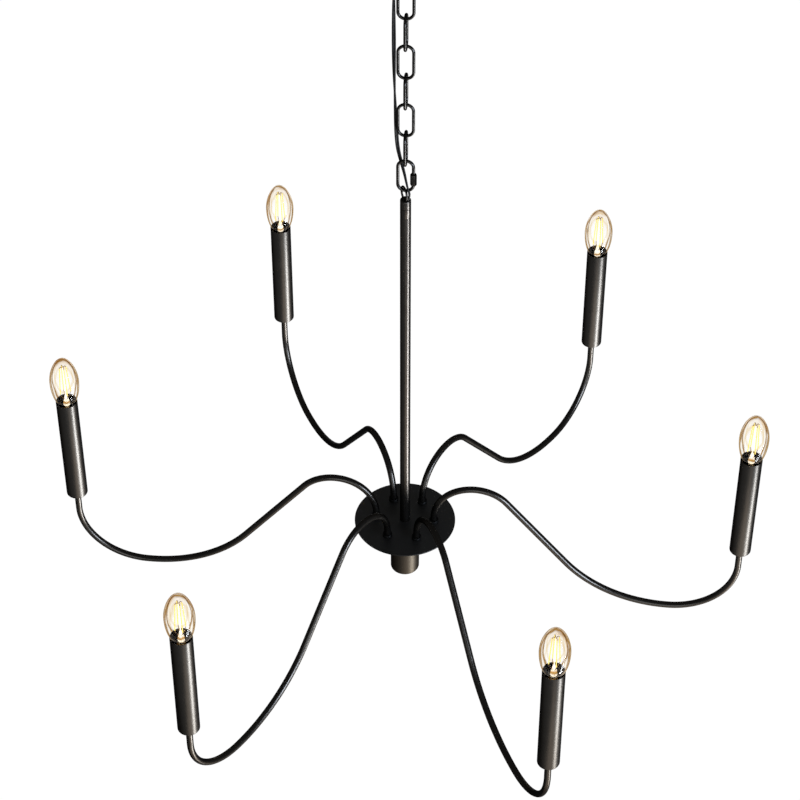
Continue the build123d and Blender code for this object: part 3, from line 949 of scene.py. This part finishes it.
# %% Eye
eye_radius = 1.2 * MM
eye_half = 7.0 * MM
eye_sunk = 0.9 * MM
eye_shift = -1.5 * MM
eye_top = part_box("stem_loop")[1].z
eye_oval = oval(eye_half, eye_top - eye_radius, cap_top - eye_sunk)
eye_line = upright(eye_oval, radians(-60), eye_shift)
eye = round_wire("stem_eye", eye_line[1:-1], eye_radius, 20, chain_coat, closed=True)
hang(eye, "chandelier", "black_metal", "stem_loop")

# %% [markdown]
# ## Screw threads
# The quick link and the bulb bases have threads. A thread is a ridge wound round a rod, so a small tree draws
# a spiral and sweeps a round section along it. The same tree serves both, with other inputs.

# %% Thread tree


def thread_tree():
    """Tree that winds a ridge round a rod, whatever mesh it is given."""
    bench, given = new_tree(
        "thread_on_rod",
        ("Rod Radius", "NodeSocketFloat"),
        ("Ridge Radius", "NodeSocketFloat"),
        ("Turns", "NodeSocketFloat"),
        ("Height", "NodeSocketFloat"),
        ("Finish", "NodeSocketMaterial"),
    )
    spiral = bench.node("GeometryNodeCurveSpiral", None, {
        "Resolution": 24, "Rotations": given["Turns"], "Start Radius": given["Rod Radius"],
        "End Radius": given["Rod Radius"], "Height": given["Height"],
    })
    ridge = round_along(bench, spiral, given["Ridge Radius"], 6)
    return close_tree(bench, ridge, given["Finish"])


wind_thread = thread_tree()


def wound_thread(name, rod_radius, ridge_radius, turns, pitch, foot, centre_x, finish):
    """A thread on an upright rod, from its foot up."""
    piece = grow(
        name, wind_thread, line_object([(0, 0, 0), (0, 0, MM)]),
        rod_radius=rod_radius, ridge_radius=ridge_radius, turns=turns, height=turns * pitch, finish=finish,
    )
    piece.data.transform(Matrix.Translation((centre_x, 0, foot)))
    return piece


# %% Thread of the quick link
quick_root = quick_radius - 0.16 * MM
quick_ridge = 0.22 * MM
quick_pitch = 1.0 * MM
quick_thread_end = quick_top - quick_half - 0.6 * MM
quick_turns = (quick_thread_end - mouth_high) / quick_pitch
quick_thread = wound_thread(
    "quick_link_thread", quick_root, quick_ridge, quick_turns, quick_pitch,
    mouth_high, quick_half, chain_coat,
)
hang(quick_thread, "quick_link", "chain_metal", "quick_link")

# %% [markdown]
# ## Arms
# Each arm is one steel tube that rises through the plate, goes over a crest, runs down a straight slope and
# turns up into its candle. Its line is made of round bends that follow one another without a corner, as a
# tube bender would make them, and the wire tree turns the six copies.

# %% Arm line
arm_circle = 34.7 * MM
arm_rise = 7.6 * MM
slope = 117.96 * MM
arm_bends = [  # radius in mm and the headings before and after in degrees, or None for the slope
    (54.7, 90, 56.8),
    (47.8, 56.8, -51.2),
    None,
    (158.3, -51.2, 1.7),
    (79.5, 1.7, 90),
]
bend_steps = 40
arm_radius = arm_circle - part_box("arm_1")[0].x
arm_foot = plate_bottom - 9.0 * MM
arm_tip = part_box("candle_sleeve_1")[0].z + 12.0 * MM
place = Vector((arm_circle, plate_top + arm_rise))
arm_places = [(arm_circle, arm_foot), (arm_circle, plate_top), tuple(place)]
heading = radians(90)
for bend in arm_bends:
    if bend is None:
        place = place + Vector((cos(heading), sin(heading))) * slope
        arm_places.append(tuple(place))
        continue
    radius, before, after = bend
    turned = radians(after - before) / bend_steps
    chord = 2 * radius * MM * sin(abs(turned) / 2)
    for step in range(bend_steps):
        place = place + Vector((cos(heading + turned / 2), sin(heading + turned / 2))) * chord
        heading += turned
        arm_places.append(tuple(place))
candle_circle = place.x
arm_places.append((candle_circle, arm_tip))
print("arm radius", round(arm_radius, 5), "candle circle", round(candle_circle, 5))
print("upturn ends at", round(place.y, 5))

# %% Arms and collars
arms = round_wire("arm_tubes", upright(arm_places, 0), arm_radius, 28, arm_coat, copies=len(arm_numbers))
hang(arms, "chandelier", "black_metal", *[f"arm_{number}" for number in arm_numbers])

collar_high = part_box("arm_collars")[1]
collar_edge = 0.4 * MM
collar_line = rounded_tube(collar_high.x - arm_circle, arm_radius, plate_top, collar_high.z, collar_edge)
collar = turn("collar", collar_line, None, arm_circle, sides=48)
# The collars take the darker copy of the coat: painted shade, so that they don't glint.
collars = one_per_arm("arm_collar_rings", collar, painted_shade_coat)
hang(collars, "chandelier", "black_metal", "arm_collars")

# %% [markdown]
# ## Candle sleeves
# Each candle is a plain metal sleeve with a rounded foot and a thin rolled rim, held on the arm by a round
# nut. It is open at the top, so the outline goes up the outside and down the inside. A light socket stands in
# it.

# %% Sleeves
sleeve_low, sleeve_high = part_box("candle_sleeve_1")
sleeve_radius = sleeve_high.x - candle_circle
sleeve_bottom = sleeve_low.z
rim = sleeve_high.z
sleeve_edge = 1.5 * MM
sleeve_wall = 0.8 * MM
sleeve_floor = sleeve_bottom + 1.6 * MM
sleeve = turn("sleeve", [
    (arm_radius, sleeve_bottom),
    *arc((sleeve_radius - sleeve_edge, sleeve_bottom + sleeve_edge), sleeve_edge, 270, 360),
    *arc((sleeve_radius - sleeve_wall / 2, rim - sleeve_wall / 2), sleeve_wall / 2, 0, 180),
    (sleeve_radius - sleeve_wall, sleeve_floor),
    (arm_radius, sleeve_floor),
], None, candle_circle, sides=72)
sleeves = one_per_arm("candle_sleeves", sleeve, sleeve_coat)
hang(sleeves, "chandelier", "sleeve_metal", *[f"candle_sleeve_{number}" for number in arm_numbers])

# %% Candle nuts and sockets
candle_nut_low, candle_nut_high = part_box("candle_nuts")
candle_nut_radius = candle_nut_high.x - candle_circle
candle_nut_edge = 0.7 * MM
candle_nut_line = rounded_tube(
    candle_nut_radius, arm_radius, candle_nut_low.z, candle_nut_high.z, candle_nut_edge,
)
candle_nut = turn("nut", candle_nut_line, None, candle_circle, sides=40)
candle_nuts = one_per_arm("candle_nut_rings", candle_nut, sleeve_coat)
hang(candle_nuts, "chandelier", "sleeve_metal", "candle_nuts")

socket_low, socket_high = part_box("lamp_sockets")
socket_radius = socket_high.x - candle_circle
socket_edge = 1.0 * MM
socket_bore = 6.15 * MM
bore_bottom = socket_high.z - 17.2 * MM
socket = turn("socket", [
    (0, socket_low.z),
    *arc((socket_radius - socket_edge, socket_low.z + socket_edge), socket_edge, 270, 360, 4),
    *arc((socket_radius - socket_edge, socket_high.z - socket_edge), socket_edge, 0, 90, 4),
    (socket_bore, socket_high.z),
    (socket_bore, bore_bottom),
    (0, bore_bottom),
], None, candle_circle, sides=48, closed=False)
# Near-black plastic: painted shade down in the candle mouths.
sockets = one_per_arm("lamp_socket_bodies", socket, socket_plastic)
hang(sockets, "chandelier", "socket_plastic", "lamp_sockets")

# %% [markdown]
# ## Bulbs
# Six egg-shaped bulbs stand in the candles. A bulb has a blown glass envelope with a thin wall, a glass stem
# inside that carries four long filaments, and a screw base with a black insulator and a contact. Every bulb
# is its own body, because it screws out, so the pieces are made once and turned to each candle. The outlines
# of the glass are given in millimetres, with heights over the seat, where the glass meets the base.

# %% Bulb envelope
glass_wall = 0.5


def bezier(*handles, steps=16):
    """Places on a smooth curve through four handles."""
    spaced = geometry.interpolate_bezier(*[Vector((*handle, 0)) for handle in handles], steps)
    return [(place.x, place.y) for place in spaced]


def above_seat(places):
    """Outline in metres from (radius, height over the seat) places in millimetres."""
    return [(radius * MM, seat + height * MM) for radius, height in places]


def egg(inset):
    """Outline of the envelope from its neck to its crown, moved in by the wall."""
    neck = bezier((5.4, 0), (5.4, 4.6), (7.83, 8.46), (10.0, 12), steps=10)
    flank = bezier((10.0, 12), (15.4, 20.9), (17.15, 33.8), (17.15, 44.6), steps=24)
    crown = bezier((17.15, 44.6), (17.15, 60.8), (8.4, 79.6), (0, 79.6), steps=32)
    places = neck + flank[1:] + crown[1:]
    shrunk = []
    for index, (radius, height) in enumerate(places):
        before = Vector(places[max(index - 1, 0)])
        after = Vector(places[min(index + 1, len(places) - 1)])
        along = (after - before).normalized()
        shrunk.append((radius - along.y * inset, height + along.x * inset))
    shrunk[0] = (places[0][0] - inset, places[0][1])
    shrunk[-1] = (0.0, places[-1][1] - inset)
    return above_seat(shrunk)


envelope = turn("envelope", egg(0.0) + egg(glass_wall)[::-1], bulb_glass, sides=80)
envelope.data.materials.append(inner_glass)
bulb_middle = Vector((0, 0, seat + 40 * MM))
for face in envelope.data.polygons:
    face.material_index = int(face.normal.dot(face.center - bulb_middle) < 0)
print("envelope widest", round(2 * max(radius for radius, _ in egg(0.0)), 4), "m")

# %% Filaments and their wires
filament_count = 4
filament_foot = (6.4 * MM, 0, seat + 27 * MM)
filament_head = (4.0 * MM, 0, seat + 66.5 * MM)
post_top = seat + 67 * MM
filament_line = [filament_foot, filament_head]
support_line = [(0.5 * MM, 0, post_top - 0.4 * MM), (2.6 * MM, 0, post_top + 1.4 * MM), filament_head]
lead_line = [(1.0 * MM, 0, seat + 16 * MM), (4.6 * MM, 0, seat + 21 * MM), filament_foot]
filaments = round_wire("filaments", filament_line, 0.6 * MM, 12, glow, copies=filament_count)
supports = round_wire("supports", support_line, 0.4 * MM, 8, copper, copies=filament_count)
feet = round_wire("feet", lead_line, 0.35 * MM, 8, copper, copies=filament_count)
print("filaments", round(filament_head[2] - filament_foot[2], 4), "m high")

# %% Glass stem
post_radius = 0.7 * MM
flare = bezier((3.9, 9), (4.0, 14), (2.4, 16), (1.5, 22), steps=12)
glass_stem = turn("glass_stem", [
    *above_seat([(0, 7.6), (2.8, 7.9), *flare]),
    (post_radius, seat + 24 * MM),
    (post_radius, post_top - post_radius),
    *arc((0, post_top - post_radius), post_radius, 0, 90, 4)[1:-1],
    (0, post_top),
], glowing_mount_glass, sides=24, closed=False)
print("glass stem ends", round(post_top - seat, 4), "m over the seat")

# %% Screw base
base_radius = base_high.x - candle_circle
thread_root = base_radius - 0.75 * MM
thread_ridge = 0.72 * MM
thread_pitch = 2.54 * MM
thread_turns = 3.75
shell_bottom = seat - 14 * MM
thread_foot = shell_bottom + 1.2 * MM
lip_inside = base_radius - 0.5 * MM
lip_outside = base_radius - 0.1 * MM
lip_floor = seat - 1.0 * MM
shell = turn("shell", [
    (0, lip_floor),
    (lip_inside, lip_floor),
    (lip_inside, seat),
    (lip_outside, seat),
    (lip_outside, seat - 1.4 * MM),
    (thread_root, seat - 2.2 * MM),
    (thread_root, shell_bottom + 0.6 * MM),
    (base_radius - 1.2 * MM, shell_bottom),
    (0, shell_bottom),
], nickel, sides=48, closed=False)
thread = wound_thread(
    "thread", thread_root, thread_ridge, thread_turns, thread_pitch, thread_foot, 0.0, nickel,
)
print("thread", round(thread_turns * thread_pitch, 4), "m long")

# %% Insulator and contact
insulator_bottom = base_low.z + 1.2 * MM
contact_top = base_low.z + 1.4 * MM
contact_edge = 1.0 * MM
insulator_ring = turn("insulator_ring", [
    (0, shell_bottom),
    (base_radius - 1.3 * MM, shell_bottom),
    (2.6 * MM, insulator_bottom),
    (0, insulator_bottom),
], insulator, sides=40, closed=False)
contact = turn("contact", [
    (0, contact_top),
    (2.4 * MM, contact_top),
    *arc((1.4 * MM, base_low.z + contact_edge), contact_edge, 0, -90, 5),
    (0, base_low.z),
], nickel, sides=32, closed=False)
print("screw base", round(seat - base_low.z, 4), "m long")

# %% Bulbs in their candles
screwed_angles = [24, -35, 5, 33, -26, -8]
arm_step = 60


def fit_bulb(pattern, name, number, body, slot, node):
    """A copy of a bulb piece, moved from the stem's axis to its candle."""
    mesh = pattern.data.copy()
    screwed_in = Matrix.Rotation(radians(screwed_angles[number - 1]), 4, "Z")
    along_arm = Matrix.Rotation(radians(arm_step * (number - 1)), 4, "Z")
    mesh.transform(along_arm @ Matrix.Translation((candle_circle, 0, 0)) @ screwed_in)
    piece = bpy.data.objects.new(f"{name}_{number}", mesh)
    scene.collection.objects.link(piece)
    hang(piece, body, slot, node)


bulb_patterns = [
    (envelope, "bulb_envelope", "bulb", "bulb_glass", "bulb_glass"),
    (filaments, "bulb_filaments", "bulb", "filament", "bulb_filament"),
    (glass_stem, "bulb_glass_stem", "bulb", "bulb_glass", "bulb_filament"),
    (supports, "bulb_supports", "bulb", "bulb_base", "bulb_filament"),
    (feet, "bulb_lead_wires", "bulb", "bulb_base", "bulb_filament"),
    (shell, "bulb_base_shell", "base", "bulb_base", "bulb_base"),
    (thread, "bulb_base_thread", "base", "bulb_base", "bulb_base"),
    (insulator_ring, "bulb_base_insulator", "base", "bulb_base", "bulb_base"),
    (contact, "bulb_base_contact", "base", "bulb_base", "bulb_base"),
]
for pattern, name, rides, slot, node in bulb_patterns:
    for number in arm_numbers:
        body = f"bulb_{number}" if rides == "bulb" else f"bulb_{number}_base"
        fit_bulb(pattern, name, number, body, slot, f"{node}_{number}")
    bpy.data.objects.remove(pattern)

# %% [markdown]
# ## Ceiling fitting
# A spun canopy covers the ceiling box. A threaded collar holds it up, and below the collar a neck with an
# open ring carries the chain. All of it lies above the photograph's edge and follows the usual make of such
# lamps.

# %% Canopy
canopy_radius, canopy_bottom, canopy_top = round_size("ceiling_canopy")
canopy_rim = 7.0 * MM
canopy_flat = 24.0 * MM
canopy_wall = 1.2 * MM
canopy_hole = 7.7 * MM


def dome(inset):
    """Outline of the dome from its rim to its flat, moved in by the wall."""
    centre = (canopy_flat, canopy_top - canopy_rim)
    wide = canopy_radius - canopy_flat - inset
    tall = canopy_top - canopy_rim - canopy_bottom - inset
    return arc(centre, wide, 0, -90, 24, tall / wide)


canopy = turn("canopy_shell", [
    (canopy_radius - canopy_wall, canopy_top),
    (canopy_radius, canopy_top),
    *dome(0.0),
    (canopy_hole, canopy_bottom),
    (canopy_hole, canopy_bottom + canopy_wall),
    *dome(canopy_wall)[::-1],
], black_coat, sides=128)
hang(canopy, "ceiling_mount", "black_metal", "ceiling_canopy")

# %% Collar and loop
ring_radius, ring_bottom, ring_top = round_size("canopy_collar")
ring_chamfer = 1.5 * MM
ring_edge = 0.5 * MM
canopy_collar = turn("canopy_collar_ring", [
    (canopy_hole, ring_bottom),
    (ring_radius - ring_chamfer, ring_bottom),
    (ring_radius, ring_bottom + ring_chamfer),
    *arc((ring_radius - ring_edge, ring_top - ring_edge), ring_edge, 0, 90, 4),
    (canopy_hole, ring_top),
], black_coat)
hang(canopy_collar, "ceiling_mount", "black_metal", "canopy_collar")

loop_low, loop_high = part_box("canopy_loop")
loop_wire = 2.0 * MM
loop_radius = 10.0 * MM
neck_radius = 7.5 * MM
neck_bore = 3.0 * MM
neck_edge = 0.6 * MM
neck_bottom = ring_bottom - 4.7 * MM
neck_line = rounded_tube(neck_radius, neck_bore, neck_bottom, loop_high.z, neck_edge)
neck = turn("canopy_loop_neck", neck_line, black_coat)
hang(neck, "ceiling_mount", "black_metal", "canopy_loop")
loop_line = arc((0, loop_low.z + loop_wire + loop_radius), loop_radius, 120, 420, 56)
loop = round_wire("canopy_loop_ring", upright(loop_line, 0), loop_wire, 24, black_coat)
hang(loop, "ceiling_mount", "black_metal", "canopy_loop")

# %% [markdown]
# ## Pieces kept from the solids
# Nuts, nipples, posts, leads and connectors are plain turned or drawn parts that hardly show. The solids are
# good enough, so they only get their finish.

# %% Kept solids
kept = {
    zinc: [
        "ceiling_crossbar", "canopy_nipple", "crossbar_locknut", "centre_nipple",
        "hub_nut", "arm_nuts", "socket_posts",
    ],
    lead_pvc: ["lamp_leads"],
    connector_plastic: ["wire_connectors"],
}
for finish, names in kept.items():
    for name in names:
        solid = frame["nodes"][name]
        solid.data.materials.clear()
        solid.data.materials.append(finish)
print("kept solids:", sum(len(names) for names in kept.values()))

# %% [markdown]
# ## Studio
# The lamp hangs far over a pale floor that fills the picture. A matt floor alone would come out grey, so to
# the camera, also through the glass, it shines nearly white by itself. Reflections see only a little of that
# shine, and other light meets a plain matt surface. From below, the floor is clear.

# %% Floor
floor_reach = 80.0
floor_height = -6.6
floor_shine = 1.07
shine_to_camera = 0.94
shine_in_metal = 0.17


def ray(bench, kind):
    """One on rays of a kind, and nothing on others."""
    return bench.node("ShaderNodeLightPath", output=f"Is {kind} Ray")


def larger(bench, first, second):
    """The larger of two values."""
    return bench.node("ShaderNodeMath", {"operation": "MAXIMUM"}, {0: first, 1: second})


floor_mesh = bpy.data.meshes.new("studio_floor")
square = ((-1, -1), (1, -1), (1, 1), (-1, 1))
floor_corners = [(x * floor_reach, y * floor_reach, floor_height) for x, y in square]
floor_mesh.from_pydata(floor_corners, [], [(0, 1, 2, 3)])
floor = bpy.data.objects.new("studio_floor", floor_mesh)
scene.collection.objects.link(floor)
floor_paint = bpy.data.materials.new("floor_paint")
floor_paint.use_nodes = True
floor_paint.node_tree.nodes.clear()
bench = Bench(floor_paint.node_tree)
seen = larger(bench, ray(bench, "Camera"), ray(bench, "Transmission"))
share = larger(bench, seen * shine_to_camera, ray(bench, "Glossy") * shine_in_metal)
matt = bench.node("ShaderNodeBsdfDiffuse", None, {"Color": (0.8, 0.8, 0.8, 1)})
shine = bench.node("ShaderNodeEmission", None, {"Color": (1, 1, 1, 1), "Strength": floor_shine})
paint = bench.node("ShaderNodeMixShader", None, {0: share, 1: matt, 2: shine})
below = bench.node("ShaderNodeNewGeometry", output="Backfacing")
clear = bench.node("ShaderNodeBsdfTransparent")
one_sided = bench.node("ShaderNodeMixShader", None, {0: below, 1: paint, 2: clear})
bench.node("ShaderNodeOutputMaterial", None, {"Surface": one_sided})
floor_mesh.materials.append(floor_paint)
print("floor is", 2 * floor_reach, "m wide")

# %% [markdown]
# The air round the lamp is white where it is looked at, and dim as a light, so that the black metal keeps its
# dark sides.

# %% World
world = bpy.data.worlds.new("studio_air")
scene.world = world
world.use_nodes = True
world.node_tree.nodes.clear()
bench = Bench(world.node_tree)
seen = larger(bench, ray(bench, "Camera"), ray(bench, "Transmission"))
dim = bench.node("ShaderNodeBackground", None, {"Color": (0.10, 0.10, 0.10, 1)})
white = bench.node("ShaderNodeBackground", None, {"Color": (1, 1, 1, 1)})
air = bench.node("ShaderNodeMixShader", None, {0: seen, 1: dim, 2: white})
bench.node("ShaderNodeOutputWorld", None, {"Surface": air})
print("world:", world.name)

# %% [markdown]
# A tall strip stands low on the right and draws the bright streak down the stem and the sleeves, with a warm
# panel under the lamp beside it. A bluish box at the height of the lamp lights its right side, and two wide,
# weak boxes fill the front and the back. The camera doesn't see them, and neither does it through the glass,
# where they would wash out the bulbs.

# %% Lights
lamp_middle = Vector((0, 0, -0.75))


def soft_box(name, azimuth, elevation, distance, width, height, brightness, tone):
    """A soft box that faces the lamp from a direction, as bright on its face as it is told."""
    level = radians(elevation)
    around = radians(azimuth)
    way = Vector((cos(level) * cos(around), cos(level) * sin(around), sin(level)))
    lamp = bpy.data.lights.new(name, "AREA")
    lamp.shape = "RECTANGLE"
    lamp.size = width
    lamp.size_y = height
    lamp.energy = brightness * pi * width * height
    lamp.color = tone
    holder = bpy.data.objects.new(name, lamp)
    holder.location = lamp_middle + way * distance
    holder.rotation_euler = (-way).to_track_quat("-Z", "Y").to_euler()
    holder.visible_camera = False
    holder.visible_transmission = False
    scene.collection.objects.link(holder)
    print(name, "gives", round(lamp.energy), "W")


soft_box(
    "strip_light", azimuth=-23, elevation=-48, distance=5.0,
    width=1.1, height=3.2, brightness=42, tone=(0.90, 0.95, 1.0),
)
soft_box(
    "floor_panel", azimuth=-38, elevation=-64, distance=2.2,
    width=2.8, height=2.2, brightness=2.0, tone=(1.0, 0.86, 0.72),
)
soft_box(
    "side_box", azimuth=-38, elevation=2, distance=3.0,
    width=1.1, height=1.2, brightness=26, tone=(0.72, 0.83, 1.0),
)
soft_box(
    "front_box", azimuth=-84, elevation=0, distance=3.0,
    width=2.0, height=1.9, brightness=2.2, tone=(0.92, 0.96, 1.0),
)
soft_box(
    "back_box", azimuth=95, elevation=-12, distance=3.0,
    width=3.2, height=1.8, brightness=1.8, tone=(1.0, 0.97, 0.92),
)
